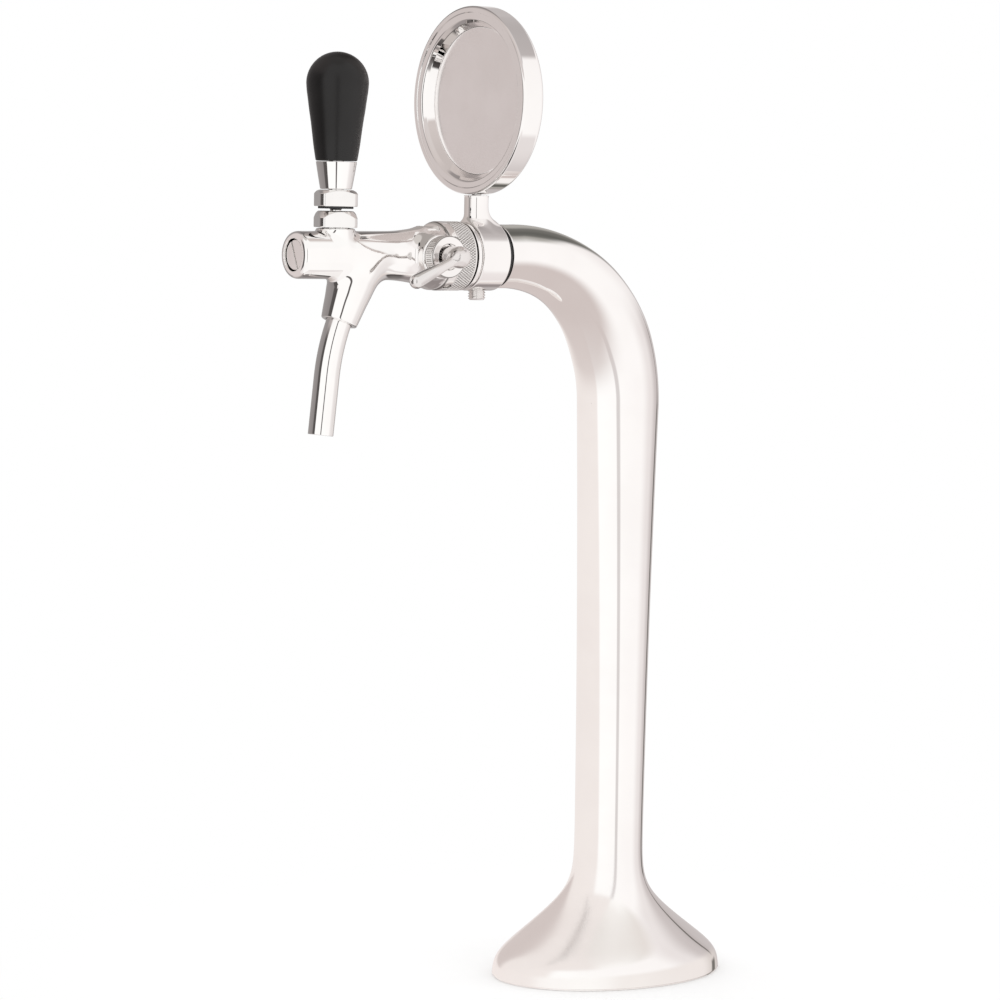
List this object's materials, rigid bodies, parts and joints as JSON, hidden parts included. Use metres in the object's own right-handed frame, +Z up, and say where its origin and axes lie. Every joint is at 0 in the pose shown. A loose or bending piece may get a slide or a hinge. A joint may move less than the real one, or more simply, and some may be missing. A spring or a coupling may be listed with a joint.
{
  "type": "beer tap tower",
  "caption": "Single-column swan-neck beer tap tower with an oval foot, round medallion holder and a lever tap with a side flow control and curved spout.",
  "frame": {"origin": "middle of the oval foot, on the counter plane", "axes": "+Z up along the column, -Y along the arm and tap towards the drinker's side, +X towards the flow lever"},
  "size_m": [0.0926, 0.2573, 0.476],
  "materials": {
    "chrome": "polished",
    "rubber": "matte",
    "steel": "satin",
    "brass": "machined",
    "white_plastic": "satin",
    "hose": "smooth",
    "coolant_hose": "smooth",
    "foam": "closed-cell foam",
    "foam_tape": "adhesive foam",
    "badge_metal": "satin",
    "black_knob": "satin"
  },
  "bodies": {
    "tower": {"tower_column": "chrome", "base_gasket": "rubber", "base_plate": "steel", "plate_screw_1": "steel", "plate_screw_2": "steel", "plate_screw_3": "steel", "plate_screw_4": "steel", "beer_line": "hose", "coolant_line": "coolant_hose", "insulation_sleeve": "foam", "hose_clamp": "steel", "shank": "chrome", "shank_lock_nut": "brass", "arm_gasket": "rubber", "medallion_collar": "chrome", "collar_set_screw": "steel", "medallion_housing": "chrome", "medallion_stud": "steel", "badge_pad": "foam_tape", "badge_plate": "badge_metal", "coupling_nut": "chrome", "union_gasket": "rubber", "tap_body": "chrome", "front_plug": "chrome", "plug_o_ring": "rubber", "valve_seat": "white_plastic", "ball_seat": "white_plastic", "ball_o_ring": "rubber", "bonnet_nut": "chrome", "spout_tube": "chrome", "spout_o_ring": "rubber", "shaft_o_ring": "rubber", "gland_nut": "chrome"},
    "handle": {"handle_lever": "steel", "lock_nut": "chrome", "dust_ring": "rubber", "handle_ferrule": "chrome", "handle_knob": "black_knob", "knob_insert": "brass"},
    "valve": {"valve_piston": "brass", "piston_seal_ring": "rubber", "piston_guide_ring": "rubber"},
    "flow_control": {"flow_shaft": "steel", "flow_lever": "chrome"},
    "compensator": {"compensator_cone": "white_plastic"}
  },
  "joints": [
    {"name": "handle_tilt", "type": "hinge", "parent": "tower", "child": "handle", "pos_m": [0, -0.1711, 0.369], "axis": [1, 0, 0], "range_deg": [-10, 18]},
    {"name": "valve_slide", "type": "slide", "parent": "tower", "child": "valve", "axis": [0, 1, 0], "range_m": [-0.0022, 0.0038]},
    {"name": "flow_lever_turn", "type": "hinge", "parent": "tower", "child": "flow_control", "pos_m": [0.0318, -0.1221, 0.357], "axis": [1, 0, 0], "range_deg": [-45, 45]},
    {"name": "compensator_slide", "type": "slide", "parent": "tower", "child": "compensator", "axis": [0, 1, 0], "range_m": [-0.0012, 0.0012]}
  ],
  "couplings": [
    {"joint": "valve_slide", "follows": "handle_tilt", "m_per_rad": 0.012},
    {"joint": "compensator_slide", "follows": "flow_lever_turn", "m_per_rad": 0.0014}
  ]
}
